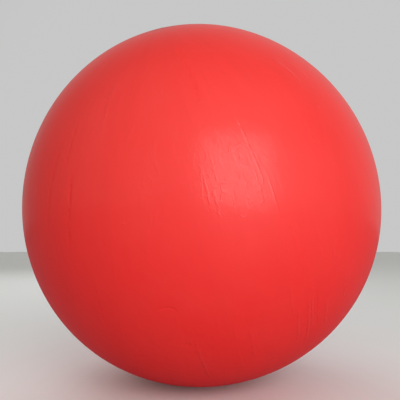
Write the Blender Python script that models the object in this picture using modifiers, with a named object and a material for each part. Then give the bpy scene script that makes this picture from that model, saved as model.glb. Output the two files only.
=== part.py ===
"""A giant latex balloon, blown up round, knotted in its own neck and resting on a table.

The origin is the middle of the flat patch that the balloon stands on. +Z is up, and +Y is the
side where the neck lies. Lengths are in metres and angles in radians.

The ball would roll until its heavy neck is lowest, so it rests on two things: the patch of skin
that its weight presses flat, and the knot behind it. NECK_LEAN follows from that.
"""

from math import acos, asin, cos, pi, radians, sin, sqrt

import bmesh
import bpy
from mathutils import Matrix, Vector

# The blown-up skin
BALL_RADIUS = 0.450
WALL = 0.010
PATCH_RADIUS = 0.050
CENTRE_HEIGHT = sqrt(BALL_RADIUS**2 - PATCH_RADIUS**2)
SKIN_STEPS = 56
SKIN_RINGS = 30
INNER_STEPS = 32
INNER_RINGS = 16
FINE_REACH = 0.115  # how far round the flat patch the skin has finer facets
FINE_CUTS = 3

# The shoulder, where the round skin turns into the neck. Distances along the neck are counted
# from the middle of the ball.
SHOULDER_RADIUS = 0.072
SHOULDER_PULL = 0.040
NECK_PULL = 0.020
NECK_RADIUS = 0.0125
THROAT_END = BALL_RADIUS + 0.028
SPLIT = 0.37  # share of the shoulder's curve where the throat piece begins
SHOULDER_POINTS = 5
HOLE_RADIUS = 0.026

# The gathered neck
LOBES = 7
LOBE_POINTS = 8
PLEAT_DEPTH = 0.0020
TWIST_LENGTH = 0.012
TWIST_RADIUS = 0.0080
TWIST_TURN = radians(120)

# The overhand knot
KNOT_DISTANCE = THROAT_END + TWIST_LENGTH + 0.0150
KNOT_REACH = 0.0163  # from the knot's middle down to the table
KNOT_SPREAD = 1.14  # the size of the line that the strand follows
STRAND_RADIUS = 0.0063
KNOT_VOXEL = 0.0023
NECK_LEAN = acos((CENTRE_HEIGHT - KNOT_REACH) / KNOT_DISTANCE)

# The loose end beyond the knot, which lies on the table
TAIL_LENGTH = 0.047
TAIL_START = 0.0180  # from the knot's middle
TAIL_SWING = 0.007  # how far the mouth lies to one side
TAIL_WALL = 0.0016
TAIL_ROOT_RADIUS = 0.0068
TAIL_PLEAT_DEPTH = 0.0011
MOUTH_HALF_WIDTH = 0.0210
MOUTH_HALF_HEIGHT = 0.0105
MOUTH_FOLDS = 3
MOUTH_FOLD_DEPTH = 0.0010
BEAD_RADIUS = 0.0021

# The thick spot at the crown, where the last drop of latex hung when the skin was dipped
SPOT_RADIUS = 0.0165
SPOT_THICKNESS = 0.0014
TEAT_RADIUS = 0.0028
TEAT_HEIGHT = 0.0030

GAP = 0.0003

SKIN_RED = (0.86, 0.060, 0.045, 1.0)
NECK_RED = (0.52, 0.016, 0.018, 1.0)


def clear_scene():
    for found in list(bpy.data.objects):
        bpy.data.objects.remove(found)


def collection(name):
    made = bpy.data.collections.new(name)
    bpy.context.scene.collection.children.link(made)
    return made


def latex(name, colour, roughness):
    material = bpy.data.materials.new(name)
    material.use_nodes = True
    shader = material.node_tree.nodes["Principled BSDF"]
    shader.inputs["Base Color"].default_value = colour
    shader.inputs["Roughness"].default_value = roughness
    shader.inputs["Metallic"].default_value = 0.0
    return material


def mesh_object(name, mesh, group, material=None):
    made = bpy.data.objects.new(name, mesh)
    group.objects.link(made)
    if material:
        mesh.materials.append(material)
    return made


def as_cutter(made):
    made.hide_render = True
    made.display_type = "WIRE"
    return made


def turned(name, profile, steps, group, material=None):
    """A solid of revolution about its own Z axis. The profile runs down the outer side."""
    mesh = bpy.data.meshes.new(name)
    edges = [(i, i + 1) for i in range(len(profile) - 1)]
    mesh.from_pydata([(x, 0.0, z) for x, z in profile], edges, [])
    made = mesh_object(name, mesh, group, material)
    screw = made.modifiers.new("Turn", "SCREW")
    screw.axis = "Z"
    screw.steps = screw.render_steps = steps
    screw.use_merge_vertices = True
    screw.merge_threshold = 0.00005
    screw.use_smooth_shade = True
    return made


def lofted(name, rings, group, material, capped=(True, True)):
    """A surface through rings of equally many points, closed by a flat face at each capped end."""
    mesh = bpy.data.meshes.new(name)
    shape = bmesh.new()
    rows = [[shape.verts.new(point) for point in ring] for ring in rings]
    count = len(rings[0])
    for near, far in zip(rows, rows[1:]):
        for i in range(count):
            j = (i + 1) % count
            shape.faces.new((near[i], near[j], far[j], far[i]))
    if capped[0]:
        shape.faces.new(list(reversed(rows[0])))
    if capped[1]:
        shape.faces.new(rows[-1])
    if any(capped):
        bmesh.ops.recalc_face_normals(shape, faces=shape.faces)
    shape.to_mesh(mesh)
    shape.free()
    mesh.shade_smooth()
    return mesh_object(name, mesh, group, material)


def cut(made, cutter, operation="DIFFERENCE"):
    boolean = made.modifiers.new("Cut", "BOOLEAN")
    boolean.operation = operation
    boolean.object = cutter
    boolean.solver = "EXACT"


def slab(name, low, high, group, frame=None):
    """A box cutter between two corners, which are given in the frame."""
    bpy.ops.mesh.primitive_cube_add(size=1.0)
    made = bpy.context.object
    made.name = name
    for owner in list(made.users_collection):
        owner.objects.unlink(made)
    group.objects.link(made)
    low, high = Vector(low), Vector(high)
    size = Matrix.Diagonal((*(high - low), 1.0))
    made.matrix_world = (
        (frame or Matrix.Identity(4)) @ Matrix.Translation((high + low) / 2) @ size
    )
    return as_cutter(made)


def neck_frame():
    """Local Z runs up from the neck through the ball's middle to the crown."""
    return Matrix.Translation((0, 0, CENTRE_HEIGHT)) @ Matrix.Rotation(NECK_LEAN, 4, "X")


def shoulder(share):
    """(radius, distance along the neck) on the curve from the round skin into the neck."""
    angle = asin(SHOULDER_RADIUS / BALL_RADIUS)
    start = Vector((SHOULDER_RADIUS, BALL_RADIUS * cos(angle)))
    end = Vector((NECK_RADIUS, THROAT_END))
    leaving = start + SHOULDER_PULL * Vector((-cos(angle), sin(angle)))
    arriving = end - NECK_PULL * Vector((0, 1))
    rest = 1 - share
    weights = (rest**3, 3 * share * rest**2, 3 * share**2 * rest, share**3)
    return sum(
        (w * p for w, p in zip(weights, (start, leaving, arriving, end))), Vector((0, 0))
    )


def skin_arc(radius, from_angle, to_angle, count):
    """Points down the side of a ball, by their angle from the crown."""
    angles = [from_angle + (to_angle - from_angle) * i / count for i in range(count + 1)]
    return [(radius * sin(a), radius * cos(a)) for a in angles]


def refine_underside(skin):
    """Finer facets on the ball where the flat patch will be cut, so the patch comes out round."""
    patch = neck_frame().inverted() @ Vector((0, 0, 0))
    shape = bmesh.new()
    shape.from_mesh(skin.data)
    near = [
        edge
        for edge in shape.edges
        if all((vert.co - patch).length < FINE_REACH for vert in edge.verts)
    ]
    bmesh.ops.subdivide_edges(shape, edges=near, cuts=FINE_CUTS, use_grid_fill=True)
    for vert in shape.verts:
        if (vert.co - patch).length < FINE_REACH:
            vert.co = BALL_RADIUS * vert.co.normalized()
    shape.to_mesh(skin.data)
    shape.free()
    skin.data.shade_smooth()


def make_envelope(parts, cutters, material):
    """The round skin, 10 mm thick here, with the throat's hole and the flat patch underneath."""
    edge = pi - asin(SHOULDER_RADIUS / BALL_RADIUS)
    outside = skin_arc(BALL_RADIUS, 0.0, edge, SKIN_RINGS)
    for i in range(1, SHOULDER_POINTS + 1):
        radius, distance = shoulder(SPLIT * i / SHOULDER_POINTS)
        outside.append((radius, -distance))
    rim = outside[-1][1]
    outside.append((0.0, rim))
    outside[0] = (0.0, BALL_RADIUS)
    skin = meshed(turned("envelope", outside, SKIN_STEPS, parts), parts, material)
    skin.matrix_world = neck_frame()
    refine_underside(skin)

    inner = BALL_RADIUS - WALL
    hole = pi - asin(HOLE_RADIUS / inner)
    inside = skin_arc(inner, 0.0, hole, INNER_RINGS)
    inside[0] = (0.0, inner)
    inside += [(HOLE_RADIUS, rim - WALL), (0.0, rim - WALL)]
    hollow = as_cutter(turned("hollow", inside, INNER_STEPS, cutters))
    hollow.matrix_world = neck_frame()

    reach = 2 * BALL_RADIUS
    floor_inside = slab("floor_inside", (-reach, -reach, -reach), (reach, reach, WALL), cutters)
    under = slab("under", (-reach, -reach, -reach), (reach, reach, 0.0), cutters)
    cut(hollow, floor_inside)
    cut(skin, under)
    cut(skin, hollow)
    return skin


def lobed_ring(radius, distance, depth, turn):
    """A gathered section of the neck: LOBES fat folds, each with a crease down its middle."""
    count = LOBES * LOBE_POINTS
    points = []
    for i in range(count):
        around = 2 * pi * i / count
        fold = 0.72 * cos(LOBES * around) + 0.28 * cos(2 * LOBES * around + 0.8)
        r = radius + depth * (fold - 1)
        points.append((r * cos(around + turn), r * sin(around + turn), -distance))
    return points


def make_throat(parts, material):
    """The funnel where the skin gathers into pleats."""
    steps = 9
    rings = []
    for i in range(steps + 1):
        share = SPLIT + (1 - SPLIT) * i / steps
        radius, distance = shoulder(share)
        if i == 0:
            distance += GAP
        rings.append(lobed_ring(radius, distance, PLEAT_DEPTH * (i / steps) ** 0.7, 0.0))
    throat = lofted("throat", rings, parts, material)
    throat.matrix_world = neck_frame()


def make_neck_twist(parts, material):
    """The neck between throat and knot, wrung round as it was tied."""
    steps = 8
    rings = []
    for i in range(steps + 1):
        share = i / steps
        eased = share * share * (3 - 2 * share)
        radius = NECK_RADIUS + (TWIST_RADIUS - NECK_RADIUS) * eased
        distance = THROAT_END + GAP + (TWIST_LENGTH - GAP) * share
        rings.append(lobed_ring(radius, distance, PLEAT_DEPTH, TWIST_TURN * eased))
    twist = lofted("neck_twist", rings, parts, material)
    twist.matrix_world = neck_frame()


def knot_frame():
    """The knot's middle, with world axes: X across, Y out behind the ball, Z up."""
    along = Vector((0, sin(NECK_LEAN), -cos(NECK_LEAN)))
    return Matrix.Translation(Vector((0, 0, CENTRE_HEIGHT)) + KNOT_DISTANCE * along)


def strand_route():
    """The overhand knot's line, in millimetres from the knot's middle: (across, side, along neck).

    It runs in through the middle, turns up the near side, goes once round itself, and
    leaves under its own turn.
    """
    return [
        (0.0, 0.0, -19.0),
        (0.0, 0.0, -13.0),
        (-0.6, -0.4, -7.0),
        (-2.2, -1.6, -0.5),
        (-1.4, -4.8, 5.2),
        (4.2, -6.6, 6.4),
        (8.8, -3.6, 1.2),
        (7.6, 3.6, -4.0),
        (1.2, 8.6, -5.2),
        (-6.4, 6.6, -3.4),
        (-9.4, -0.4, -1.6),
        (-6.6, -7.0, -1.2),
        (0.8, -7.6, -1.0),
        (4.2, -1.4, 1.6),
        (2.6, 5.2, 5.2),
        (1.4, 11.5, 8.2),
        (0.8, 19.0, 12.0),
    ]


def smooth_line(points, per_span):
    """A Catmull-Rom line through the points."""
    ends = [2 * points[0] - points[1], *points, 2 * points[-1] - points[-2]]
    line = []
    for a, b, c, d in zip(ends, ends[1:], ends[2:], ends[3:]):
        for i in range(per_span):
            t = i / per_span
            line.append(
                0.5
                * (
                    2 * b
                    + (c - a) * t
                    + (2 * a - 5 * b + 4 * c - d) * t**2
                    + (3 * b - a - 3 * c + d) * t**3
                )
            )
    line.append(points[-1])
    return line


def tube(name, line, radius, group, material, closed=False):
    """A round strand along a line of points."""
    curve = bpy.data.curves.new(name, "CURVE")
    curve.dimensions = "3D"
    curve.bevel_depth = radius
    curve.bevel_resolution = 2
    curve.use_fill_caps = not closed
    spline = curve.splines.new("POLY")
    spline.points.add(len(line) - 1)
    for point, place in zip(spline.points, line):
        point.co = (*place, 1.0)
    spline.use_cyclic_u = closed
    made = bpy.data.objects.new(name, curve)
    group.objects.link(made)
    curve.materials.append(material)
    return made


def meshed(made, group, material):
    """The same piece as a closed mesh, which modifiers can cut."""
    bpy.context.view_layer.update()
    graph = bpy.context.evaluated_depsgraph_get()
    mesh = bpy.data.meshes.new_from_object(made.evaluated_get(graph))
    shape = bmesh.new()
    shape.from_mesh(mesh)
    bmesh.ops.remove_doubles(shape, verts=shape.verts, dist=0.00001)
    shape.to_mesh(mesh)
    shape.free()
    mesh.materials.clear()
    name, place = made.name, made.matrix_world.copy()
    bpy.data.objects.remove(made)
    solid = mesh_object(name, mesh, group, material)
    solid.matrix_world = place
    return solid


def make_knot(parts, cutters, material):
    """An overhand knot, its strands pressed together where they touch."""
    side = Vector((0, cos(NECK_LEAN), sin(NECK_LEAN)))
    along = Vector((0, sin(NECK_LEAN), -cos(NECK_LEAN)))
    points = [
        0.001 * KNOT_SPREAD * (across * Vector((1, 0, 0)) + out * side + down * along)
        for across, out, down in strand_route()
    ]
    knot = meshed(
        tube("knot", smooth_line(points, 4), STRAND_RADIUS, parts, material), parts, material
    )
    knot.matrix_world = knot_frame()
    remesh = knot.modifiers.new("Press together", "REMESH")
    remesh.mode = "VOXEL"
    remesh.voxel_size = KNOT_VOXEL
    remesh.use_smooth_shade = True
    ease = knot.modifiers.new("Ease", "SMOOTH")
    ease.factor = 0.5
    ease.iterations = 2

    wide = 0.05
    top = THROAT_END + TWIST_LENGTH + GAP
    neck_side = slab("neck_side", (-wide, -wide, -top), (wide, wide, 0), cutters, neck_frame())
    cut(knot, neck_side)
    tail_side = slab(
        "tail_side",
        (-wide, TAIL_START - GAP, -wide),
        (wide, TAIL_START + wide, wide),
        cutters,
        knot_frame(),
    )
    cut(knot, tail_side)
    return knot


def sleeve_outline(share, count):
    """A section of the loose end: gathered at the knot, a wide wavy oval at the mouth."""
    eased = share * share * (3 - 2 * share)
    half_width = TAIL_ROOT_RADIUS + (MOUTH_HALF_WIDTH - TAIL_ROOT_RADIUS) * eased
    half_height = TAIL_ROOT_RADIUS + (MOUTH_HALF_HEIGHT - TAIL_ROOT_RADIUS) * eased
    outline = []
    for i in range(count):
        around = 2 * pi * i / count
        fold = MOUTH_FOLD_DEPTH * share * cos(MOUTH_FOLDS * around + 0.6)
        fold += TAIL_PLEAT_DEPTH * (1 - share) ** 2 * (cos(LOBES * around) - 0.5)
        across = -(half_width + fold) * cos(around)
        up = (half_height + fold) * sin(around)
        outline.append(Vector((across, 0.0, up)))
    middle = knot_frame().translation
    on_table = BEAD_RADIUS - min(point.z for point in outline)
    centre = Vector(
        (
            TAIL_SWING * share * share,
            middle.y + TAIL_START + TAIL_LENGTH * share,
            on_table * eased + middle.z * (1 - eased),
        )
    )
    return [centre + point for point in outline]


def make_tail(parts, material):
    """The open end of the neck beyond the knot, a flared sleeve that lies on the table."""
    steps = 9
    count = 6 * LOBES
    rings = [sleeve_outline(i / steps, count) for i in range(steps + 1)]
    tail = lofted("tail", rings, parts, material, capped=(False, False))
    shell = tail.modifiers.new("Wall", "SOLIDIFY")
    shell.thickness = TAIL_WALL
    shell.offset = 0.0
    return tail


def make_mouth_bead(parts, material):
    """The rolled lip round the mouth."""
    outline = sleeve_outline(1.0, 44)
    outward = BEAD_RADIUS + GAP
    line = [point + Vector((0, outward, 0)) for point in outline]
    return tube("mouth_bead", line, BEAD_RADIUS, parts, material, closed=True)


def make_crown_spot(parts, material):
    """A shallow thick disc with the little teat that the last drop left."""
    base = BALL_RADIUS + GAP
    spread = SPOT_RADIUS / BALL_RADIUS
    rings = 6
    top = []
    for i in range(rings + 1):
        share = i / rings
        lift = SPOT_THICKNESS * cos(pi / 2 * share) ** 0.7 if share < 1 else 0.0
        top.append((base + lift, spread * share))
    profile = [(0.0, base + TEAT_HEIGHT)]
    profile.append((0.75 * TEAT_RADIUS, base + 0.85 * TEAT_HEIGHT))
    profile.append((TEAT_RADIUS, base + 0.62 * TEAT_HEIGHT))
    for height, angle in top[2:]:
        profile.append((height * sin(angle), height * cos(angle)))
    for i in range(rings - 1, 0, -1):
        angle = spread * i / rings
        profile.append((base * sin(angle), base * cos(angle)))
    profile.append((0.0, base))
    spot = turned("crown_spot", profile, 24, parts, material)
    spot.matrix_world = neck_frame()
    return spot


def main():
    clear_scene()
    parts = collection("giant_latex_balloon")
    cutters = collection("cutters")
    skin = latex("skin_latex", SKIN_RED, 0.38)
    neck = latex("neck_latex", NECK_RED, 0.45)
    make_envelope(parts, cutters, skin)
    make_crown_spot(parts, neck)
    make_throat(parts, skin)
    make_neck_twist(parts, neck)
    make_knot(parts, cutters, neck)
    make_tail(parts, neck)
    make_mouth_bead(parts, neck)


main()
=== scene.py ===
from math import acos, asin, atan, cos, pi, radians, sin, sqrt

import bmesh
import bpy
import numpy as np
from mathutils import Matrix, Vector


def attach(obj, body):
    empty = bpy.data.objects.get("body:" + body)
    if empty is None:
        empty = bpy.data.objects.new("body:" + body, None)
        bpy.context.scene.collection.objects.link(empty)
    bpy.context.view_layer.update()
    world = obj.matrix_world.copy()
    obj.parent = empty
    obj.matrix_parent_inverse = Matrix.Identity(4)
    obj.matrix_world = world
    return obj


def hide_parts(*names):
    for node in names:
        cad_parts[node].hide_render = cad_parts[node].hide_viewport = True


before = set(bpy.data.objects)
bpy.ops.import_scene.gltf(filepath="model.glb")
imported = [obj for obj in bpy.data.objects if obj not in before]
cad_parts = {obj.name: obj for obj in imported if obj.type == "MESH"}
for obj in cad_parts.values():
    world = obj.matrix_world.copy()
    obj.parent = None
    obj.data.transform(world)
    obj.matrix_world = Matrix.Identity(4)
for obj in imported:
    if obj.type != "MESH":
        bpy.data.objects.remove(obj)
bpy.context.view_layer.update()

# The blown skin.
# One sheet of dipped latex from the crown down to the knot, blown up until it is round. It is
# drawn into a shoulder, gathers in pleats at the throat, and is wrung round where it was tied.

BALL_RADIUS = 0.450
PATCH_RADIUS = 0.050
CENTRE_HEIGHT = sqrt(BALL_RADIUS**2 - PATCH_RADIUS**2)
PATCH_EASE = 0.00025  # softens the edge of the patch that lies on the floor
PEAR = 0.013  # the ball is this much longer at the crown, and flatter 60 degrees away from it
PEAR_FADES = radians(122)  # it is round again well before the patch and the neck
PEAR_FADE = radians(22)

SHOULDER_RADIUS = 0.072
SHOULDER_PULL = 0.040
NECK_PULL = 0.020
NECK_RADIUS = 0.0125
THROAT_END = BALL_RADIUS + 0.028
TWIST_LENGTH = 0.012
TWIST_RADIUS = 0.0080
TWIST_TURN = radians(120)
TUCK_LENGTH = 0.006  # how far the neck runs into the knot
TUCK_RADIUS = 0.0062

KNOT_DISTANCE = THROAT_END + TWIST_LENGTH + 0.0150
KNOT_REACH = 0.0163
NECK_LEAN = acos((CENTRE_HEIGHT - KNOT_REACH) / KNOT_DISTANCE)
BALL_CENTRE = Vector((0, 0, CENTRE_HEIGHT))
TO_WORLD = Matrix.Translation(BALL_CENTRE) @ Matrix.Rotation(NECK_LEAN, 4, "X")

SKIN_AROUND = 336
SKIN_RINGS = 160
PLEATED_RINGS = 34
PLEATED_ANGLE = 0.22  # the stretch of the ball above the shoulder that has closer rings
SHOULDER_RINGS = 46
TWIST_RINGS = 22
TUCK_RINGS = 5

# Each family of pleats: how many round the neck, depth, and how far up the throat they fade out.
PLEATS = ((7, 0.00130, 0.062), (11, 0.00085, 0.042), (17, 0.00050, 0.026), (27, 0.00022, 0.015))
PLEAT_SWELL = 0.024  # pleats are deepest this far above the twist
SWELLS = ((5, 0.00030), (9, 0.00016), (14, 0.00011), (23, 0.00006))


def ease(share):
    """Runs from 0 to 1 with no corner at either end."""
    share = np.clip(share, 0.0, 1.0)
    return share * share * (3 - 2 * share)


def skin_distance(angle):
    """From the ball's middle to its skin, at an angle from the crown."""
    across = np.cos(angle)
    pear = (5 * across**3 - 3 * across) / 2
    return BALL_RADIUS * (1 + PEAR * pear * (1 - ease((angle - PEAR_FADES) / PEAR_FADE)))


def skin_profile():
    """Radius and distance along the neck, from the crown down, as two arrays."""
    edge = pi - asin(SHOULDER_RADIUS / BALL_RADIUS)
    wide = np.linspace(0, edge - PLEATED_ANGLE, SKIN_RINGS + 1)[1:]
    close = np.linspace(edge - PLEATED_ANGLE, edge, PLEATED_RINGS + 1)[1:]
    angle = np.concatenate((wide, close))
    distance = skin_distance(angle)
    ball = np.stack((distance * np.sin(angle), -distance * np.cos(angle)), axis=1)

    lean = pi - edge
    start = ball[-1]
    end = np.array((NECK_RADIUS, THROAT_END))
    leaving = start + SHOULDER_PULL * np.array((-cos(lean), sin(lean)))
    arriving = end - NECK_PULL * np.array((0.0, 1.0))
    t = np.linspace(0, 1, SHOULDER_RINGS + 1)[1:, None]
    shoulder = (
        (1 - t) ** 3 * start
        + 3 * t * (1 - t) ** 2 * leaving
        + 3 * t**2 * (1 - t) * arriving
        + t**3 * end
    )

    t = np.linspace(0, 1, TWIST_RINGS + 1)[1:]
    twist_radius = NECK_RADIUS + (TWIST_RADIUS - NECK_RADIUS) * ease(t)
    twist = np.stack((twist_radius, THROAT_END + TWIST_LENGTH * t), axis=1)
    t = np.linspace(0, 1, TUCK_RINGS + 1)[1:]
    tuck_radius = TWIST_RADIUS + (TUCK_RADIUS - TWIST_RADIUS) * ease(t)
    tuck = np.stack((tuck_radius, THROAT_END + TWIST_LENGTH + TUCK_LENGTH * t), axis=1)
    return np.concatenate((ball, shoulder, twist, tuck))


def pleat_wave(count, around, above, seed):
    """Folds with round tops and sharp valleys, of uneven width. Its mean is about zero."""
    wander = 0.30 * np.sin(2 * around + 1.7 * seed) + 0.22 * np.sin(3 * around - 2.3 * seed)
    drift = 0.35 * np.sin(above / 0.016 + seed)
    return np.abs(np.cos((count * (around + wander / 2) + drift + 1.3 * seed) / 2)) - 2 / pi


def sheet_of_rings(name, rings, looped=False, caps=True):
    """A mesh through rings of equally many points, closed by a fan at each end."""
    count, around = rings.shape[:2]
    points = [tuple(point) for point in rings.reshape(-1, 3)]
    here = np.arange(count * around).reshape(count, around)
    near = here if looped else here[:-1]
    far = np.roll(here, -1, axis=0) if looped else here[1:]
    faces = np.stack((near, np.roll(near, -1, 1), np.roll(far, -1, 1), far), axis=-1)
    faces = [tuple(face) for face in faces.reshape(-1, 4).tolist()]
    if caps and not looped:
        for ring in (here[0], here[-1]):
            middle = rings.reshape(-1, 3)[ring].mean(axis=0)
            hub = len(points)
            points.append(tuple(middle))
            faces += [(a, b, hub) for a, b in zip(ring.tolist(), np.roll(ring, -1).tolist())]
    mesh = bpy.data.meshes.new(name)
    mesh.from_pydata(points, [], faces)
    shape = bmesh.new()
    shape.from_mesh(mesh)
    bmesh.ops.recalc_face_normals(shape, faces=shape.faces)
    shape.to_mesh(mesh)
    shape.free()
    mesh.shade_smooth()
    return mesh


def placed(mesh, *nodes, slot):
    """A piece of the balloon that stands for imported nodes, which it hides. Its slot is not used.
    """
    piece = bpy.data.objects.new(mesh.name, mesh)
    bpy.context.scene.collection.objects.link(piece)
    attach(piece, "root")
    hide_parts(*nodes)
    return piece


def give(mesh, name, values):
    """A number at each vertex, which the materials read by this name."""
    mesh.attributes.new(name, "FLOAT", "POINT").data.foreach_set("value", values)


def coordinates(mesh):
    places = np.empty(3 * len(mesh.vertices))
    mesh.vertices.foreach_get("co", places)
    return places.reshape(-1, 3)


def hollows(mesh, gain, rounds=2):
    """How far each vertex lies in a crease: 0 on a crest, 0.5 on a plain stretch, 1 in a valley."""
    count = len(mesh.vertices)
    places = coordinates(mesh)
    normals = np.empty(3 * count)
    mesh.vertices.foreach_get("normal", normals)
    normals = normals.reshape(-1, 3)
    ends = np.empty(2 * len(mesh.edges), dtype=np.int64)
    mesh.edges.foreach_get("vertices", ends)
    first, second = ends.reshape(-1, 2).T
    degree = np.bincount(first, minlength=count) + np.bincount(second, minlength=count)

    def neighbours(values):
        total = np.zeros(count)
        np.add.at(total, first, values[second])
        np.add.at(total, second, values[first])
        return total / degree

    offset = np.stack([neighbours(places[:, i]) for i in range(3)], axis=1) - places
    length = np.linalg.norm(places[first] - places[second], axis=1)
    reach = np.zeros(count)
    np.add.at(reach, first, length)
    np.add.at(reach, second, length)
    depth = (offset * normals).sum(axis=1) / (reach / degree)
    for _ in range(rounds):
        depth = 0.5 * depth + 0.5 * neighbours(depth)
    return np.clip(0.5 + gain * depth, 0, 1)


def make_skin():
    profile = skin_profile()
    along = np.gradient(profile, axis=0)
    along /= np.linalg.norm(along, axis=1)[:, None]
    outward = np.stack((-along[:, 1], along[:, 0]), axis=1) * -1
    steps = np.linalg.norm(np.diff(profile, axis=0), axis=1)
    travelled = np.concatenate(((0,), np.cumsum(steps))) + profile[0, 0]
    twist_start = len(profile) - TWIST_RINGS - TUCK_RINGS
    above = travelled[twist_start - 1] - travelled  # distance back up from the twist
    around = np.linspace(0, 2 * pi, SKIN_AROUND, endpoint=False)[None, :]
    up = np.maximum(above, 0)[:, None]

    proud = np.zeros((len(profile), SKIN_AROUND))
    for seed, (count, depth, reach) in enumerate(PLEATS):
        swell = 1 + 0.9 * (up / PLEAT_SWELL) * np.exp(1 - up / PLEAT_SWELL)
        fade = np.exp(-((up / reach) ** 2))
        proud += depth * swell * fade * pleat_wave(count, around, up, seed + 1)
    polar = np.clip(travelled / BALL_RADIUS, 0, pi)[:, None]
    for seed, (count, height) in enumerate(SWELLS):
        slow = np.sin(2.6 * polar + 1.9 * seed) * np.sin(polar) ** 2
        proud += height * slow * np.cos(count * around + 0.8 * np.sin(3 * polar + seed) + seed)

    wrung = ease(-above / TWIST_LENGTH) * TWIST_TURN + 0.35 * np.exp(-up[:, 0] / 0.012)
    turned = around + wrung[:, None]
    radius = profile[:, :1] + outward[:, :1] * proud
    down = profile[:, 1:] + outward[:, 1:] * proud
    local = np.stack((radius * np.cos(turned), radius * np.sin(turned), -down), axis=-1)
    rotation = np.array(TO_WORLD.to_3x3())
    world = local @ rotation.T + np.array(TO_WORLD.translation)
    world[..., 2] = (world[..., 2] + np.sqrt(world[..., 2] ** 2 + PATCH_EASE**2)) / 2

    mesh = sheet_of_rings("blown_skin", world)
    slack = np.where(above < 0, 1.0, np.exp(-((np.maximum(above, 0) / 0.055) ** 1.3)))
    crown = 0.42 * np.exp(-((travelled / 0.034) ** 2)) + 0.16 * np.exp(-((travelled / 0.11) ** 2))
    slack = np.repeat(np.maximum(slack, crown), SKIN_AROUND)
    give(mesh, "slack", np.concatenate((slack, (slack[0], slack[-1]))))
    give(mesh, "crease", hollows(mesh, 5.0))
    return placed(mesh, "envelope", "throat", "neck_twist", slot="skin_latex")


skin = make_skin()

# The latex of the blown skin.
# Natural latex coloured right through, stretched to several times its length. The dipping leaves
# lines that run from crown to neck, the stretching leaves fine wrinkles, and a dusting of powder
# dulls it. Where it is hardly stretched, at the throat and the crown, its red is deeper.


def add(tree, kind, inputs=None, **settings):
    """A shader node with its settings. An input is a value, or a socket that it is linked to."""
    made = tree.nodes.new("ShaderNode" + kind)
    for name, value in settings.items():
        setattr(made, name, value)
    for key, value in (inputs or {}).items():
        if isinstance(value, bpy.types.NodeSocket):
            tree.links.new(value, made.inputs[key])
        else:
            made.inputs[key].default_value = value
    return made


def maths(tree, operation, *values):
    return add(tree, "Math", dict(enumerate(values)), operation=operation).outputs[0]


def vector_maths(tree, operation, *values):
    return add(tree, "VectorMath", dict(enumerate(values)), operation=operation).outputs[0]


def span(tree, value, low, high, to_low=0.0, to_high=1.0):
    """Carries a value smoothly from one range to another."""
    ends = {"From Min": low, "From Max": high, "To Min": to_low, "To Max": to_high}
    made = add(tree, "MapRange", {"Value": value, **ends}, interpolation_type="SMOOTHSTEP")
    return made.outputs["Result"]


def shader_group(name, inputs, outputs):
    """A node group with named sockets. Returns its tree, its inputs and a function that ends it."""
    tree = bpy.data.node_groups.new(name, "ShaderNodeTree")
    for label, value in inputs.items():
        kind = "NodeSocketVector" if value is None else "NodeSocketFloat"
        if isinstance(value, tuple):
            kind = "NodeSocketColor"
        socket = tree.interface.new_socket(label, in_out="INPUT", socket_type=kind)
        if value is not None:
            socket.default_value = value
    for label, kind in outputs.items():
        tree.interface.new_socket(label, in_out="OUTPUT", socket_type=kind)
    given = tree.nodes.new("NodeGroupInput").outputs

    def put_out(**results):
        end = tree.nodes.new("NodeGroupOutput")
        for label, socket in results.items():
            tree.links.new(socket, end.inputs[label])

    return tree, given, put_out


def along_mould(tree, place, fineness, run):
    """Stretches a place on the balloon so that patterns run from crown to neck."""
    parts = add(tree, "SeparateXYZ", {0: place})
    flat = add(tree, "CombineXYZ", {0: parts.outputs[0], 1: parts.outputs[1]}).outputs[0]
    out = add(tree, "VectorMath", {0: flat}, operation="LENGTH").outputs["Value"]
    compass = vector_maths(tree, "NORMALIZE", flat)
    spread = add(tree, "VectorMath", {0: compass, "Scale": fineness}, operation="SCALE").outputs[0]
    polar = maths(tree, "ARCTAN2", out, parts.outputs[2])
    far = add(tree, "CombineXYZ", {2: maths(tree, "MULTIPLY", polar, run)}).outputs[0]
    return vector_maths(tree, "ADD", spread, far)


def make_flow_lines():
    """Thin raised lines that wander along the dipping direction, and the broad bands among them."""
    tree, given, put_out = shader_group(
        "flow_lines",
        {"Place": None, "Fineness": 6.0, "Run": 1.5, "Wander": 0.5, "Width": 0.03},
        {"Ridge": "NodeSocketFloat", "Band": "NodeSocketFloat"},
    )
    mould = along_mould(tree, given["Place"], given["Fineness"], given["Run"])
    drift = add(tree, "TexNoise", {"Vector": given["Place"], "Scale": 6.0, "Detail": 2.0})
    centred = vector_maths(tree, "SUBTRACT", drift.outputs["Color"], (0.5, 0.5, 0.5))
    strayed = add(
        tree, "VectorMath", {0: centred, "Scale": given["Wander"]}, operation="SCALE"
    ).outputs[0]
    mould = vector_maths(tree, "ADD", mould, strayed)
    wave = add(tree, "TexNoise", {"Vector": mould, "Scale": 1.0, "Detail": 1.0}).outputs["Fac"]
    off = maths(tree, "ABSOLUTE", maths(tree, "SUBTRACT", wave, 0.5))
    ridge = span(tree, off, given["Width"], 0.0)
    parts_of_line = add(tree, "TexNoise", {"Vector": mould, "Scale": 2.3, "Detail": 1.0})
    shown = span(tree, parts_of_line.outputs["Fac"], 0.48, 0.66)
    put_out(Ridge=maths(tree, "MULTIPLY", ridge, shown), Band=wave)
    return tree


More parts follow.
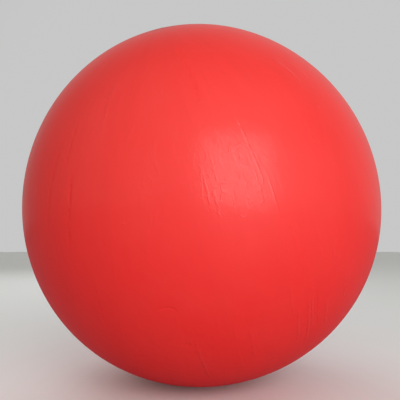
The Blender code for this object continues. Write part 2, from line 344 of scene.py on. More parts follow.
def make_wrinkles():
    """A net of short fine wrinkles, longer along the dipping direction than across it."""
    tree, given, put_out = shader_group(
        "fine_wrinkles",
        {"Place": None, "Fineness": 34.0, "Run": 16.0, "Warp": 1.2, "Width": 0.10},
        {"Ridge": "NodeSocketFloat"},
    )
    mould = along_mould(tree, given["Place"], given["Fineness"], given["Run"])
    bend = add(tree, "TexNoise", {"Vector": mould, "Scale": 0.55, "Detail": 2.0}).outputs["Color"]
    bend = vector_maths(tree, "SUBTRACT", bend, (0.5, 0.5, 0.5))
    bend = add(tree, "VectorMath", {0: bend, "Scale": given["Warp"]}, operation="SCALE").outputs[0]
    mould = vector_maths(tree, "ADD", mould, bend)
    cells = add(tree, "TexVoronoi", {"Vector": mould, "Scale": 1.0}, feature="DISTANCE_TO_EDGE")
    ridge = span(tree, cells.outputs["Distance"], given["Width"], 0.0)
    broken = add(tree, "TexNoise", {"Vector": mould, "Scale": 0.9, "Detail": 1.0}).outputs["Fac"]
    put_out(Ridge=maths(tree, "MULTIPLY", ridge, span(tree, broken, 0.42, 0.60)))
    return tree


def make_powder_bloom():
    """The cloudy film of powder and rubber bloom that dulls latex."""
    tree, given, put_out = shader_group(
        "powder_bloom",
        {"Place": None, "Scale": 9.0, "Cover": 0.5, "Grain": 420.0},
        {"Powder": "NodeSocketFloat"},
    )
    cloud = add(
        tree,
        "TexNoise",
        {"Vector": given["Place"], "Scale": given["Scale"], "Detail": 5.0, "Roughness": 0.6},
    ).outputs["Fac"]
    low = maths(tree, "SUBTRACT", 0.82, maths(tree, "MULTIPLY", given["Cover"], 0.5))
    patch = span(tree, cloud, maths(tree, "SUBTRACT", low, 0.16), maths(tree, "ADD", low, 0.16))
    specks = add(
        tree, "TexNoise", {"Vector": given["Place"], "Scale": given["Grain"], "Detail": 2.0}
    ).outputs["Fac"]
    put_out(Powder=maths(tree, "MULTIPLY", patch, span(tree, specks, 0.25, 0.75, 0.55, 1.0)))
    return tree


def make_latex_tone():
    """The red of the latex: deeper where it is slack, paler where it is thin, with painted shade in
    its creases.
    """
    tree, given, put_out = shader_group(
        "latex_tone_and_crease_shade",
        {
            "Slack": 0.0,
            "Crease": 0.5,
            "Cloud": 0.5,
            "Thin": (0.86, 0.05, 0.04, 1.0),
            "Thick": (0.42, 0.008, 0.010, 1.0),
            "Uneven": 0.1,
        },
        {"Color": "NodeSocketColor"},
    )

    def blend(share, low, high):
        mix = add(tree, "Mix", {0: share, 6: low, 7: high}, data_type="RGBA")
        return mix.outputs[2]

    tone = blend(given["Slack"], given["Thin"], given["Thick"])
    cloud = span(tree, given["Cloud"], 0.3, 0.7)
    shade = maths(tree, "MULTIPLY", cloud, given["Uneven"])
    tone = blend(shade, tone, given["Thick"])
    # Painted shade: the valleys of the creases are darkened towards a near-black red.
    painted_crease_shade = span(tree, given["Crease"], 0.52, 0.95, 0.0, 0.75)
    put_out(Color=blend(painted_crease_shade, tone, (0.16, 0.003, 0.004, 1.0)))
    return tree


def make_mould_round():
    """Where a place lies on the ball: angle from the crown, angle round, distance off the axis."""
    tree, given, put_out = shader_group(
        "mould_round",
        {"Place": None, "Wander": 0.006},
        {
            "Polar": "NodeSocketFloat",
            "Compass": "NodeSocketFloat",
            "Out": "NodeSocketFloat",
            "Unbroken": "NodeSocketFloat",
        },
    )
    parts = add(tree, "SeparateXYZ", {0: given["Place"]})
    flat = add(tree, "CombineXYZ", {0: parts.outputs[0], 1: parts.outputs[1]}).outputs[0]
    out = add(tree, "VectorMath", {0: flat}, operation="LENGTH").outputs["Value"]
    polar = maths(tree, "ARCTAN2", out, parts.outputs[2])
    mould = along_mould(tree, given["Place"], 5.0, 7.0)
    stray = add(tree, "TexNoise", {"Vector": mould, "Scale": 1.0, "Detail": 1.0}).outputs["Fac"]
    stray = maths(tree, "MULTIPLY", maths(tree, "SUBTRACT", stray, 0.5), given["Wander"])
    compass = maths(tree, "ARCTAN2", parts.outputs[1], parts.outputs[0])
    compass = maths(tree, "ADD", compass, maths(tree, "DIVIDE", stray, out))
    beads = add(tree, "TexNoise", {"Vector": mould, "Scale": 5.0, "Detail": 1.0}).outputs["Fac"]
    put_out(Polar=polar, Compass=compass, Out=out, Unbroken=span(tree, beads, 0.36, 0.58, 0.2, 1.1))
    return tree


def make_stretch_ridge():
    """One ridge in the skin that runs from the crown's side towards the neck."""
    tree, given, put_out = shader_group(
        "stretch_ridge",
        {
            "Polar": 0.0,
            "Compass": 0.0,
            "Out": 0.0,
            "At": 0.0,
            "Middle": 0.5,
            "Reach": 0.1,
            "Width": 0.003,
        },
        {"Ridge": "NodeSocketFloat"},
    )
    turned = maths(tree, "SUBTRACT", given["Compass"], given["At"])
    away = maths(tree, "ABSOLUTE", maths(tree, "MULTIPLY", turned, given["Out"]))
    ridge = span(tree, away, given["Width"], 0.0)
    along = maths(tree, "ABSOLUTE", maths(tree, "SUBTRACT", given["Polar"], given["Middle"]))
    share = maths(tree, "DIVIDE", along, given["Reach"])
    put_out(Ridge=maths(tree, "MULTIPLY", ridge, span(tree, share, 1.0, 0.55)))
    return tree


def make_crescent():
    """The curved wrinkle above a place where a fingertip has pressed the skin."""
    tree, given, put_out = shader_group(
        "pressed_crescent",
        {"Place": None, "Middle": None, "Radius": 0.024, "Width": 0.0045},
        {"Ridge": "NodeSocketFloat"},
    )
    from_middle = vector_maths(tree, "SUBTRACT", given["Place"], given["Middle"])
    away = add(tree, "VectorMath", {0: from_middle}, operation="LENGTH").outputs["Value"]
    noise = add(tree, "TexNoise", {"Vector": given["Place"], "Scale": 38.0, "Detail": 1.0})
    sway = maths(tree, "MULTIPLY_ADD", noise.outputs["Fac"], 0.006, -0.003)
    away = maths(tree, "SUBTRACT", maths(tree, "ADD", away, sway), given["Radius"])
    ridge = span(tree, maths(tree, "ABSOLUTE", away), given["Width"], 0.0)
    toward = vector_maths(tree, "NORMALIZE", from_middle)
    above = add(tree, "SeparateXYZ", {0: toward}).outputs[2]
    put_out(Ridge=maths(tree, "MULTIPLY", ridge, span(tree, above, 0.45, 0.75)))
    return tree


def make_nibs():
    """Tiny specks under the skin, where a grain of dust was dipped in, far apart."""
    tree, given, put_out = shader_group(
        "dust_nibs", {"Place": None, "Scale": 26.0, "Size": 0.08}, {"Speck": "NodeSocketFloat"}
    )
    cells = add(tree, "TexVoronoi", {"Vector": given["Place"], "Scale": given["Scale"]})
    speck = span(tree, cells.outputs["Distance"], given["Size"], 0.0)
    chosen = add(tree, "SeparateXYZ", {0: cells.outputs["Color"]}).outputs[0]
    put_out(Speck=maths(tree, "MULTIPLY", speck, span(tree, chosen, 0.62, 0.85)))
    return tree


FLOW_LINES = make_flow_lines()
WRINKLES = make_wrinkles()
POWDER_BLOOM = make_powder_bloom()
LATEX_TONE_AND_CREASE_SHADE = make_latex_tone()
MOULD_ROUND = make_mould_round()
STRETCH_RIDGE = make_stretch_ridge()
CRESCENT = make_crescent()
NIBS = make_nibs()

# Worn patches of the skin, where the wrinkles gather: middle, radius, strength.
WRINKLED_PATCHES = (
    ((0.222, -0.391, 0.020), 0.112, 1.0),
    ((0.10, 0.36, 0.24), 0.13, 1.0),
    ((0.10, -0.315, -0.305), 0.11, 0.7),
    ((-0.03, -0.350, -0.28), 0.09, 0.6),
    ((0.335, -0.265, -0.14), 0.07, 0.5),
)
# Places where the skin was pressed: middle, radius of the crescent above it, height.
PRESSED_PLACES = (
    ((0.0865, -0.374, -0.2345), 0.024, -1.5),
    ((0.1020, -0.323, -0.2960), 0.013, -2.0),
    ((-0.330, 0.270, 0.150), 0.022, 2.0),
)

# How high each kind of mark stands, as a share of a ridge's height in metres.
RIDGE_HEIGHT = 0.00026
LONG_LINES = 0.50
FINE_LINES = 0.25
WRINKLE_NET = 0.85
CRUMPLES = 0.70
SPECKS = 2.4
PEEL = 0.10
DIMPLES = 1.2

# Rubbed high places are glossier than hollows. Both ends of each range are given.
GLOSS_HEIGHTS = (-1.6, 1.6)
GLOSS_COATS = (0.08, 0.62)
SKIN_ROUGHNESS = 0.66

SKIN_THIN = (0.83, 0.0165, 0.0120, 1.0)
SKIN_THICK = (0.44, 0.006, 0.008, 1.0)
SKIN_POWDER = (0.92, 0.80, 0.74, 1.0)

# Ridges that show singly: degrees round, degrees from the crown to start and stop, half-width in
# millimetres, height. A groove has a height below zero.
RIDGES = (
    (-49.3, 46, 64, 3.2, 1.3),
    (-47.8, 61, 73, 3.0, 1.2),
    (-54.1, 50, 70, 3.2, 1.5),
    (-50.6, 56, 69, 3.0, 1.4),
    (-63.6, 56, 68, 3.4, 0.8),
    (-60.5, 53, 62, 3.0, 1.2),
    (-61.9, 62, 70, 3.8, 0.9),
    (-46.0, 74, 86, 3.6, -1.2),
    (-48.0, 97, 110, 4.4, 2.8),
    (-45.0, 94, 113, 4.4, 2.8),
    (-43.9, 95, 107, 3.8, 2.4),
    (-42.4, 94, 107, 3.8, -2.4),
    (-38.9, 99, 109, 4.4, 2.2),
    (-49.5, 89, 99, 4.2, 1.4),
    (-102.8, 54, 75, 7.5, -2.2),
    (-106.4, 42, 55, 6.5, -1.4),
    (-112.0, 47, 71, 8.0, -1.4),
    (-93.5, 30, 46, 6.0, 1.1),
    (-96.3, 80, 93, 4.6, -2.2),
    (-97.8, 90, 102, 4.8, 1.2),
    (-91.5, 97, 109, 5.2, 1.5),
    (-74.0, 98, 118, 4.6, 2.6),
    (-60.6, 98, 110, 4.8, 2.0),
    (-58.3, 18, 44, 9.0, -1.6),
    (-15.8, 36, 49, 9.0, 1.6),
    (-35.2, 84, 93, 3.8, 1.9),
    (-32.0, 95, 104, 4.0, 1.9),
    (38.0, 58, 84, 5.0, 1.6),
    (84.0, 96, 118, 4.6, 1.5),
    (101.0, 66, 97, 4.6, -1.5),
    (158.0, 49, 70, 6.0, 1.6),
    (-148.0, 70, 98, 5.4, 1.5),
)


def grouped(tree, group, **inputs):
    """A node group placed in a material, with its values."""
    made = tree.nodes.new("ShaderNodeGroup")
    made.node_tree = group
    for key, value in inputs.items():
        if isinstance(value, bpy.types.NodeSocket):
            tree.links.new(value, made.inputs[key])
        else:
            made.inputs[key].default_value = value
    return made.outputs


def mould_place(tree):
    """Places on the balloon measured from the ball's middle, with the crown straight up."""
    given = add(tree, "TexCoord").outputs["Object"]
    return add(
        tree,
        "Mapping",
        {"Vector": given, "Location": BALL_CENTRE, "Rotation": (NECK_LEAN, 0.0, 0.0)},
        vector_type="TEXTURE",
    ).outputs[0]


def plain_material(name):
    made = bpy.data.materials.new(name)
    made.use_nodes = True
    return made, made.node_tree, made.node_tree.nodes["Principled BSDF"]


def make_skin_latex():
    made, tree, shader = plain_material("blown_latex")
    shader.inputs["IOR"].default_value = 1.52
    shader.inputs["Specular IOR Level"].default_value = 0.50
    shader.inputs["Coat Roughness"].default_value = 0.24
    shader.inputs["Coat IOR"].default_value = 1.50
    place = mould_place(tree)
    raw = add(tree, "TexCoord").outputs["Object"]
    slack = add(tree, "Attribute", attribute_name="slack").outputs["Fac"]
    crease = add(tree, "Attribute", attribute_name="crease").outputs["Fac"]

    long_lines = grouped(tree, FLOW_LINES, Place=place, Fineness=7.0, Run=1.4, Width=0.030)
    fine_lines = grouped(
        tree, FLOW_LINES, Place=place, Fineness=26.0, Run=3.5, Wander=1.4, Width=0.07
    )
    net = grouped(tree, WRINKLES, Place=place)["Ridge"]
    worn = 0.0
    for middle, radius, strength in WRINKLED_PATCHES:
        ends = {0: raw, 1: BALL_CENTRE + Vector(middle)}
        away = add(tree, "VectorMath", ends, operation="DISTANCE").outputs["Value"]
        patch = span(tree, away, radius, 0.35 * radius, 0.0, strength)
        worn = maths(tree, "MAXIMUM", worn, patch)
    stray = add(tree, "TexNoise", {"Vector": raw, "Scale": 7.0, "Detail": 3.0}).outputs["Fac"]
    cover = maths(tree, "MAXIMUM", worn, span(tree, stray, 0.62, 0.72, 0.0, 0.6))
    net = maths(tree, "MULTIPLY", net, cover)
    crumple = grouped(
        tree, FLOW_LINES, Place=place, Fineness=40.0, Run=28.0, Wander=2.5, Width=0.05
    )["Ridge"]
    crumple = maths(tree, "MULTIPLY", crumple, worn)
    speck = grouped(tree, NIBS, Place=raw)["Speck"]
    peel = add(tree, "TexNoise", {"Vector": raw, "Scale": 240.0, "Detail": 3.0}).outputs["Fac"]
    dimples = add(tree, "TexNoise", {"Vector": raw, "Scale": 28.0, "Detail": 2.0}).outputs["Fac"]

    height = maths(tree, "MULTIPLY", long_lines["Ridge"], LONG_LINES)
    height = maths(tree, "MULTIPLY_ADD", fine_lines["Ridge"], FINE_LINES, height)
    height = maths(tree, "MULTIPLY_ADD", net, WRINKLE_NET, height)
    height = maths(tree, "MULTIPLY_ADD", crumple, CRUMPLES, height)
    height = maths(tree, "MULTIPLY_ADD", speck, SPECKS, height)
    for middle, radius, size in PRESSED_PLACES:
        crescent = grouped(
            tree, CRESCENT, Place=raw, Middle=BALL_CENTRE + Vector(middle), Radius=radius
        )["Ridge"]
        height = maths(tree, "MULTIPLY_ADD", crescent, size, height)
    round_the_mould = grouped(tree, MOULD_ROUND, Place=place)
    ridges = 0.0
    for at, start, stop, width, size in RIDGES:
        ridge = grouped(
            tree,
            STRETCH_RIDGE,
            Polar=round_the_mould["Polar"],
            Compass=round_the_mould["Compass"],
            Out=round_the_mould["Out"],
            At=radians(at),
            Middle=radians((start + stop) / 2),
            Reach=radians((stop - start) / 2),
            Width=width / 1000,
        )["Ridge"]
        ridges = maths(tree, "MULTIPLY_ADD", ridge, size, ridges)
    height = maths(tree, "MULTIPLY_ADD", ridges, round_the_mould["Unbroken"], height)
    low, high = GLOSS_HEIGHTS
    dull, glossy = GLOSS_COATS
    coat = add(tree, "MapRange", {"Value": height, 1: low, 2: high, 3: dull, 4: glossy})
    tree.links.new(coat.outputs["Result"], shader.inputs["Coat Weight"])
    height = maths(tree, "MULTIPLY_ADD", peel, PEEL, height)
    height = maths(tree, "MULTIPLY_ADD", dimples, DIMPLES, height)
    bump = add(tree, "Bump", {"Strength": 1.0, "Distance": RIDGE_HEIGHT, "Height": height})
    tree.links.new(bump.outputs[0], shader.inputs["Normal"])
    tree.links.new(bump.outputs[0], shader.inputs["Coat Normal"])

    cloud = maths(tree, "MULTIPLY", long_lines["Band"], 0.6)
    cloud = maths(tree, "MULTIPLY_ADD", fine_lines["Band"], 0.4, cloud)
    # The tone darkens the creases of the skin with painted shade.
    tone = grouped(
        tree,
        LATEX_TONE_AND_CREASE_SHADE,
        Slack=slack,
        Crease=crease,
        Cloud=cloud,
        Thin=SKIN_THIN,
        Thick=SKIN_THICK,
        Uneven=0.06,
    )["Color"]
    powder = grouped(tree, POWDER_BLOOM, Place=raw, Scale=7.0, Cover=0.55)["Powder"]
    dust = maths(tree, "MULTIPLY_ADD", powder, 0.010, 0.006)
    dusty = add(tree, "Mix", {0: dust, 6: tone, 7: SKIN_POWDER}, data_type="RGBA").outputs[2]
    tree.links.new(dusty, shader.inputs["Base Color"])
    rough = maths(tree, "MULTIPLY_ADD", powder, 0.06, SKIN_ROUGHNESS)
    rough = maths(tree, "MULTIPLY_ADD", long_lines["Band"], 0.05, rough)
    tree.links.new(rough, shader.inputs["Roughness"])
    return made


skin.data.materials.append(make_skin_latex())

# The crown spot.
# Opposite the neck, the last drop of latex ran to the tip of the mould. It left a thick round
# spot with a small teat, which stretches little and stays dark.

SPOT_RADIUS = 0.0165
SPOT_THICKNESS = 0.0004
SPOT_TUCK = 0.0006  # its edge sinks this far into the skin
TEAT_RADIUS = 0.0028
TEAT_HEIGHT = 0.0003
SPOT_AROUND = 96
SPOT_RINGS = 44


def make_crown_spot():
    """A low dome with ripples round it, lines running out and a dimpled teat in its middle."""
    share = np.linspace(0, 1, SPOT_RINGS + 1)[1:][:, None]
    around = np.linspace(0, 2 * pi, SPOT_AROUND, endpoint=False)[None, :]
    out = SPOT_RADIUS * (1 + 0.05 * np.sin(3 * around + 0.5) + 0.03 * np.sin(5 * around)) * share
    dome = SPOT_THICKNESS * (1 - share**2) ** 2
    ripples = 0.00006 * np.sin(share * 34) * (1 - share)
    radial = 0.00005 * np.sin(23 * around + 3 * np.sin(2 * around)) * ease(share * 3) * (1 - share)
    teat = TEAT_HEIGHT * np.exp(-((share * SPOT_RADIUS / TEAT_RADIUS) ** 3))
    dimple = -0.0002 * np.exp(-((share * SPOT_RADIUS / (0.4 * TEAT_RADIUS)) ** 2))
    lift = skin_distance(0.0) - SPOT_TUCK * share**4 + dome + ripples + radial + teat + dimple
    angle = out / BALL_RADIUS
    top = np.stack(
        (
            lift * np.sin(angle) * np.cos(around),
            lift * np.sin(angle) * np.sin(around),
            lift * np.cos(angle) * np.ones_like(around),
        ),
        axis=-1,
    )
    under = top[::-1][:: SPOT_RINGS // 4]
    depth = skin_distance(0.0) - 2 * SPOT_TUCK
    under = under / np.linalg.norm(under, axis=-1, keepdims=True) * depth
    rings = np.concatenate((top, under))
    world = rings @ np.array(TO_WORLD.to_3x3()).T + np.array(TO_WORLD.translation)
    mesh = sheet_of_rings("crown_spot_latex", world)
    share = np.concatenate((share[:, 0], np.linspace(1, 0, len(under))))
    slack = np.repeat(0.42 + 0.45 * (1 - share**2) ** 1.5, SPOT_AROUND)
    give(mesh, "slack", np.concatenate((slack, (slack[0], slack[-1]))))
    give(mesh, "crease", hollows(mesh, 3.0))
    return placed(mesh, "crown_spot", slot="neck_latex")


crown_spot = make_crown_spot()

# The latex of the neck.
# The same latex, hardly stretched: thicker, a deeper red and a little glossier, with powder left
# on the crests of its folds and fine stretch lines between them.

DEEP_RED = (0.40, 0.009, 0.011, 1.0)
BRIGHT_RED = (0.74, 0.026, 0.024, 1.0)
NECK_POWDER = (0.90, 0.74, 0.70, 1.0)
NECK_LINE_HEIGHT = 0.00010


def make_neck_latex(name, roughness, line_scale, dust):
    """The slack latex. Its lines are so many to the metre, and dust is how white its powder is."""
    made, tree, shader = plain_material(name)
    shader.inputs["IOR"].default_value = 1.52
    raw = add(tree, "TexCoord").outputs["Object"]
    slack = add(tree, "Attribute", attribute_name="slack").outputs["Fac"]
    crease = add(tree, "Attribute", attribute_name="crease").outputs["Fac"]
    cloud = add(tree, "TexNoise", {"Vector": raw, "Scale": 90.0, "Detail": 3.0}).outputs["Fac"]
    lines = add(
        tree, "TexNoise", {"Vector": raw, "Scale": line_scale, "Detail": 4.0, "Distortion": 0.6}
    ).outputs["Fac"]
    creep = add(tree, "TexVoronoi", {"Vector": raw, "Scale": 620.0}, feature="DISTANCE_TO_EDGE")
    creep = span(tree, creep.outputs["Distance"], 0.12, 0.0)
    height = maths(tree, "MULTIPLY_ADD", creep, 0.16, maths(tree, "MULTIPLY", lines, 0.8))
    bump = add(tree, "Bump", {"Strength": 1.0, "Distance": NECK_LINE_HEIGHT, "Height": height})
    tree.links.new(bump.outputs[0], shader.inputs["Normal"])
    # The tone darkens the creases of the neck with painted shade.
    tone = grouped(
        tree,
        LATEX_TONE_AND_CREASE_SHADE,
        Slack=slack,
        Crease=crease,
        Cloud=cloud,
        Thin=BRIGHT_RED,
        Thick=DEEP_RED,
        Uneven=0.35,
    )["Color"]
    powder = grouped(tree, POWDER_BLOOM, Place=raw, Scale=60.0, Cover=0.7, Grain=1500.0)["Powder"]
    crest = span(tree, crease, 0.50, 0.25)
    powder = maths(tree, "MULTIPLY", powder, maths(tree, "MULTIPLY_ADD", crest, 0.7, 0.3))
    dusted = maths(tree, "MULTIPLY", powder, dust)
    dusty = add(tree, "Mix", {0: dusted, 6: tone, 7: NECK_POWDER}, data_type="RGBA").outputs[2]
    tree.links.new(dusty, shader.inputs["Base Color"])
    rough = maths(tree, "MULTIPLY_ADD", powder, 0.20, roughness)
    rough = maths(tree, "MULTIPLY_ADD", lines, 0.08, rough)
    tree.links.new(rough, shader.inputs["Roughness"])
    return made


NECK_LATEX = make_neck_latex("neck_latex", roughness=0.34, line_scale=480.0, dust=0.14)
crown_spot.data.materials.append(NECK_LATEX)

# The knot.
# The wrung neck goes once round itself and through, and is pulled tight by hand. The folds of the
# gathered sheet run along the strand and press into each other where its turns meet.

STRAND_RADIUS = 0.0060
KNOT_SPREAD = 1.14
KNOT_VOXEL = 0.00055
STRAND_AROUND = 96
STRAND_PER_SPAN = 14
KNOT_MIDDLE = BALL_CENTRE + KNOT_DISTANCE * Vector((0, sin(NECK_LEAN), -cos(NECK_LEAN)))


def strand_route():
    """The overhand knot's line, in millimetres from the knot's middle: across, side, along neck."""
    return [
        (0.0, 0.0, -19.0),
        (0.0, 0.0, -13.0),
        (-0.6, -0.4, -7.0),
        (-2.2, -1.6, -0.5),
        (-1.4, -4.8, 5.2),
        (4.2, -6.6, 6.4),
        (8.8, -3.6, 1.2),
        (7.6, 3.6, -4.0),
        (1.2, 8.6, -5.2),
        (-6.4, 6.6, -3.4),
        (-9.4, -0.4, -1.6),
        (-6.6, -7.0, -1.2),
        (0.8, -7.6, -1.0),
        (4.2, -1.4, 1.6),
        (2.6, 5.2, 5.2),
        (1.4, 11.5, 8.2),
        (0.8, 19.0, 12.0),
    ]


def smooth_line(points, per_span):
    """A Catmull-Rom line through the points."""
    ends = [2 * points[0] - points[1], *points, 2 * points[-1] - points[-2]]
    line = []
    for a, b, c, d in zip(ends, ends[1:], ends[2:], ends[3:]):
        for i in range(per_span):
            t = i / per_span
            line.append(
                0.5
                * (
                    2 * b
                    + (c - a) * t
                    + (2 * a - 5 * b + 4 * c - d) * t**2
                    + (3 * b - a - 3 * c + d) * t**3
                )
            )
    line.append(points[-1])
    return line


def swept(line, section):
    """Rings along a line. The section gives (x, y) offsets for the step's number."""
    rings = []
    side = None
    for i, place in enumerate(line):
        ahead = (line[min(i + 1, len(line) - 1)] - line[max(i - 1, 0)]).normalized()
        side = Vector((1, 0, 0)) if side is None else side
        side = (side - side.dot(ahead) * ahead).normalized()
        other = ahead.cross(side)
        x, y = section(i)
        ring = np.array(place) + np.outer(x, np.array(side)) + np.outer(y, np.array(other))
        rings.append(ring)
    return np.array(rings)


def strand_section(step):
    """Gathered folds that wind slowly along the strand."""
    around = np.linspace(0, 2 * pi, STRAND_AROUND, endpoint=False)
    wind = 0.020 * step
    folds = 0.085 * (np.abs(np.cos((9 * (around + wind) + 0.8 * np.sin(2 * around)) / 2)) - 0.64)
    folds += 0.045 * (np.abs(np.cos((16 * (around + wind) + 1.3) / 2)) - 0.64)
    squash = 1 + 0.07 * np.cos(2 * around + 0.05 * step)
    radius = STRAND_RADIUS * (1 + folds) * squash
    return radius * np.cos(around), radius * np.sin(around)


def melt_together(piece, voxel, smoothing):
    """Melts a piece's crossing surfaces into one closed skin."""
    melt = piece.modifiers.new("Melt", "REMESH")
    melt.mode = "VOXEL"
    melt.voxel_size = voxel
    melt.use_smooth_shade = True
    soften = piece.modifiers.new("Soften", "SMOOTH")
    soften.factor = 0.5
    soften.iterations = smoothing
    graph = bpy.context.evaluated_depsgraph_get()
    mesh = bpy.data.meshes.new_from_object(piece.evaluated_get(graph))
    mesh.name = piece.data.name
    piece.modifiers.clear()
    piece.data = mesh


def make_knot():
    side = Vector((0, cos(NECK_LEAN), sin(NECK_LEAN)))
    along = Vector((0, sin(NECK_LEAN), -cos(NECK_LEAN)))
    points = [
        KNOT_MIDDLE + 0.001 * KNOT_SPREAD * (a * Vector((1, 0, 0)) + b * side + c * along)
        for a, b, c in strand_route()
    ]
    rings = swept(smooth_line(points, STRAND_PER_SPAN), strand_section)
    knot = placed(sheet_of_rings("overhand_knot", rings), "knot", slot="neck_latex")
    melt_together(knot, KNOT_VOXEL, 2)
    mesh = knot.data
    mesh.shade_smooth()
    give(mesh, "crease", hollows(mesh, 2.2, rounds=3))
    give(mesh, "slack", np.full(len(mesh.vertices), 0.75))
    mesh.materials.append(NECK_LATEX)


make_knot()

# The mouth sleeve.
# Beyond the knot the neck is loose again: a thin sleeve that flares from tight pleats to a wide
# wavy mouth, and lies on whatever the balloon stands on.

TAIL_LENGTH = 0.047
TAIL_START = 0.0180
TAIL_TUCK = 0.0050  # its root starts this far back, in the knot's own folds
TAIL_SWING = 0.007
TAIL_ROOT_RADIUS = 0.0068
MOUTH_HALF_WIDTH = 0.0210
MOUTH_HALF_HEIGHT = 0.0105
MOUTH_FOLDS = 3
MOUTH_FOLD_DEPTH = 0.0010
BEAD_RADIUS = 0.0021
SLEEVE_WALL = 0.0010
SLEEVE_AROUND = 240
SLEEVE_RINGS = 70
SLEEVE_PLEATS = ((7, 0.00105, 0.55), (12, 0.00060, 0.40), (19, 0.00030, 0.25))


def sleeve_outline(share, count):
    """A section of the sleeve, from its gathered root at 0 to its mouth at 1."""
    eased = float(ease(share))
    half_width = TAIL_ROOT_RADIUS + (MOUTH_HALF_WIDTH - TAIL_ROOT_RADIUS) * eased
    half_height = TAIL_ROOT_RADIUS + (MOUTH_HALF_HEIGHT - TAIL_ROOT_RADIUS) * eased
    around = np.linspace(0, 2 * pi, count, endpoint=False)
    fold = MOUTH_FOLD_DEPTH * share * np.cos(MOUTH_FOLDS * around + 0.6)
    for seed, (pleats, depth, reach) in enumerate(SLEEVE_PLEATS):
        fade = np.exp(-((max(share, 0) / reach) ** 2))
        fold += depth * fade * pleat_wave(pleats, around, share * TAIL_LENGTH, seed + 4)
    fold += 0.00035 * eased * np.sin(5 * around + 2.0 + 2.5 * share)
    across = -(half_width + fold) * np.cos(around)
    up = (half_height + fold) * np.sin(around)
    on_table = BEAD_RADIUS - up.min()
    middle = (
        TAIL_SWING * share * abs(share),
        KNOT_MIDDLE.y + TAIL_START + TAIL_LENGTH * share,
        on_table * eased + KNOT_MIDDLE.z * (1 - eased),
    )
    return np.stack((across, np.zeros(count), up), axis=1) + np.array(middle)


def make_sleeve():
    shares = np.linspace(-TAIL_TUCK / TAIL_LENGTH, 1.0, SLEEVE_RINGS)
    rings = np.array([sleeve_outline(share, SLEEVE_AROUND) for share in shares])
    mesh = sheet_of_rings("mouth_sleeve", rings, caps=False)
    give(mesh, "crease", hollows(mesh, 3.0))
    give(mesh, "slack", np.repeat(0.78 - 0.30 * ease(shares), SLEEVE_AROUND))
    sleeve = placed(mesh, "tail", slot="neck_latex")
    wall = sleeve.modifiers.new("Wall", "SOLIDIFY")
    wall.thickness = SLEEVE_WALL
    wall.offset = 0.0
    mesh.materials.append(NECK_LATEX)


make_sleeve()

# The rolled lip.
# The last few millimetres of the neck were rolled back on themselves while the latex was wet, so
# the mouth ends in a firm round bead, thicker and darker than the sleeve.

LIP_AROUND = 26
LIP_STEPS = 260


def lip_section(step):
    """A round bead, slightly uneven, with the groove where the roll ends."""
    turn = 2 * pi * step / LIP_STEPS
    around = np.linspace(0, 2 * pi, LIP_AROUND, endpoint=False)
    swell = 1 + 0.05 * sin(5 * turn + 1.0) + 0.03 * sin(11 * turn)
    groove = 0.16 * np.exp(-(((around - 3.9) / 0.22) ** 2))
    radius = BEAD_RADIUS * 0.98 * swell * (1 - groove)
    return radius * np.cos(around), radius * np.sin(around)


def make_lip():
    outline = sleeve_outline(1.0, LIP_STEPS)
    line = [Vector(point) + Vector((0, BEAD_RADIUS * 0.85, 0)) for point in outline]
    rings = []
    count = len(line)
    for i, place in enumerate(line):
        ahead = (line[(i + 1) % count] - line[i - 1]).normalized()
        back = Vector((0, 1, 0))
        out = ahead.cross(back).normalized()
        x, y = lip_section(i)
        rings.append(np.array(place) + np.outer(x, np.array(out)) + np.outer(y, np.array(back)))
    mesh = sheet_of_rings("rolled_lip", np.array(rings), looped=True)
    give(mesh, "crease", hollows(mesh, 1.2))
    give(mesh, "slack", np.full(len(mesh.vertices), 1.0))
    placed(mesh, "mouth_bead", slot="neck_latex")
    latex = make_neck_latex("lip_latex", roughness=0.30, line_scale=700.0, dust=0.20)
    mesh.materials.append(latex)


make_lip()

# The studio.
# A plain pale floor in a plain pale studio. A soft box to the right of the camera shows in the
# skin as a soft patch of light. A weaker one stands farther round, and one fills in the back.

PICTURE_SIDE = 400
FOCAL_PIXELS = 450
HORIZON_ROW = 240.5
BALL_COLUMN = 201.0
CAMERA_DISTANCE = 2.69 * BALL_RADIUS
CAMERA_DROP = radians(4.44)
CAMERA_AZIMUTH = radians(22)
BRIGHT_AZIMUTH = CAMERA_AZIMUTH - radians(11)  # the surround is brightest in this direction
SENSOR = 36.0
FLOOR_SEEN = (0.88, 0.885, 0.89, 1.0)
FLOOR_THROWS = (0.55, 0.19, 0.24, 1.0)
FLOOR_ROUGHNESS = 0.50
FLOOR_RADIUS = 14.0


def make_camera():
    data = bpy.data.cameras.new("camera")
    camera = bpy.data.objects.new("camera", data)
    bpy.context.scene.collection.objects.link(camera)
    data.sensor_width = SENSOR
    data.lens = SENSOR * FOCAL_PIXELS / PICTURE_SIDE
    level = CAMERA_DISTANCE * cos(CAMERA_DROP)
    camera.location = (
        level * sin(CAMERA_AZIMUTH),
        -level * cos(CAMERA_AZIMUTH),
        CENTRE_HEIGHT - CAMERA_DISTANCE * sin(CAMERA_DROP),
    )
    tilt = atan((HORIZON_ROW - PICTURE_SIDE / 2) / FOCAL_PIXELS)
    turn = CAMERA_AZIMUTH + atan((BALL_COLUMN - PICTURE_SIDE / 2) / FOCAL_PIXELS)
    camera.rotation_euler = (pi / 2 + tilt, 0.0, turn)
    bpy.context.scene.camera = camera


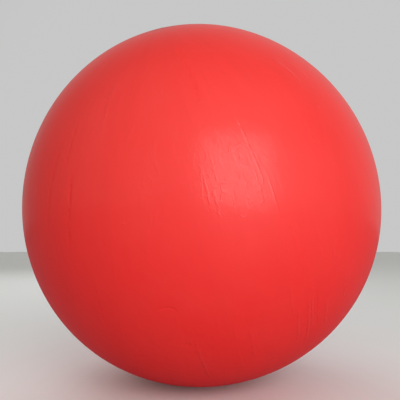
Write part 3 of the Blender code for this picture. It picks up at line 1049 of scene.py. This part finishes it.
def make_floor():
    bpy.ops.mesh.primitive_circle_add(vertices=128, radius=FLOOR_RADIUS, fill_type="NGON")
    floor = bpy.context.object
    floor.name = "floor"
    made, tree, pale = plain_material("pale_floor")
    # The camera sees it pale. The light that it throws up on the balloon is darker and redder.
    pale.inputs["Base Color"].default_value = FLOOR_SEEN
    pale.inputs["Roughness"].default_value = FLOOR_ROUGHNESS
    finish = {"Base Color": FLOOR_THROWS, "Roughness": FLOOR_ROUGHNESS}
    throws = add(tree, "BsdfPrincipled", finish)
    seen = add(tree, "LightPath").outputs["Is Camera Ray"]
    both = add(tree, "MixShader", {0: seen, 1: throws.outputs[0], 2: pale.outputs[0]})
    tree.links.new(both.outputs[0], tree.nodes["Material Output"].inputs["Surface"])
    floor.data.materials.append(made)


def soft_light(name, azimuth, elevation, distance, side, brightness, colour=(1.0, 1.0, 1.0)):
    """A square light that faces the ball, in degrees round from the front and up from level."""
    round_front = radians(azimuth)
    up = radians(elevation)
    toward = Vector((sin(round_front) * cos(up), -cos(round_front) * cos(up), sin(up)))
    data = bpy.data.lights.new(name, "AREA")
    data.shape = "SQUARE"
    data.size = side
    data.energy = brightness * pi * side**2  # so that its face is this bright
    data.color = colour
    light = bpy.data.objects.new(name, data)
    bpy.context.scene.collection.objects.link(light)
    light.location = BALL_CENTRE + distance * toward
    light.rotation_euler = toward.to_track_quat("Z", "Y").to_euler()
    return light


def make_surround(front, beside, behind):
    """The studio round the ball: in front, where the camera stands, beside it and behind it."""
    surround = bpy.data.worlds.new("surround")
    surround.use_nodes = True
    tree = surround.node_tree
    looking = add(tree, "TexCoord").outputs["Generated"]
    ahead = (-sin(BRIGHT_AZIMUTH), cos(BRIGHT_AZIMUTH), 0.0)
    along = add(tree, "VectorMath", {0: looking, 1: ahead}, operation="DOT_PRODUCT")
    share = maths(tree, "MULTIPLY_ADD", along.outputs["Value"], 0.5, 0.5)
    tones = add(tree, "ValToRGB", {0: share})
    ramp = tones.color_ramp
    ramp.interpolation = "EASE"
    ramp.elements[0].position = 0.20
    ramp.elements[0].color = (*front, 1.0)
    ramp.elements[1].position = 0.90
    ramp.elements[1].color = (*behind, 1.0)
    ramp.elements.new(0.55).color = (*beside, 1.0)
    tree.links.new(tones.outputs[0], tree.nodes["Background"].inputs["Color"])
    bpy.context.scene.world = surround


make_camera()
make_floor()
soft_light("main_light", azimuth=42.5, elevation=13.5, distance=3.0, side=1.9, brightness=4.7)
soft_light("side_light", 80.0, 2.0, distance=4.0, side=3.5, brightness=0.3, colour=(0.95, 1.0, 1.1))
# The light behind fills in the far side. It shows neither in the picture nor in the gloss.
back_light = soft_light("back_light", 228.0, 42.0, distance=3.8, side=3.2, brightness=1.3)
back_light.visible_camera = False
back_light.visible_glossy = False
make_surround(front=(0.65, 0.635, 0.57), beside=(0.18, 0.18, 0.175), behind=(0.57, 0.575, 0.57))
bpy.context.scene.view_settings.view_transform = "Standard"
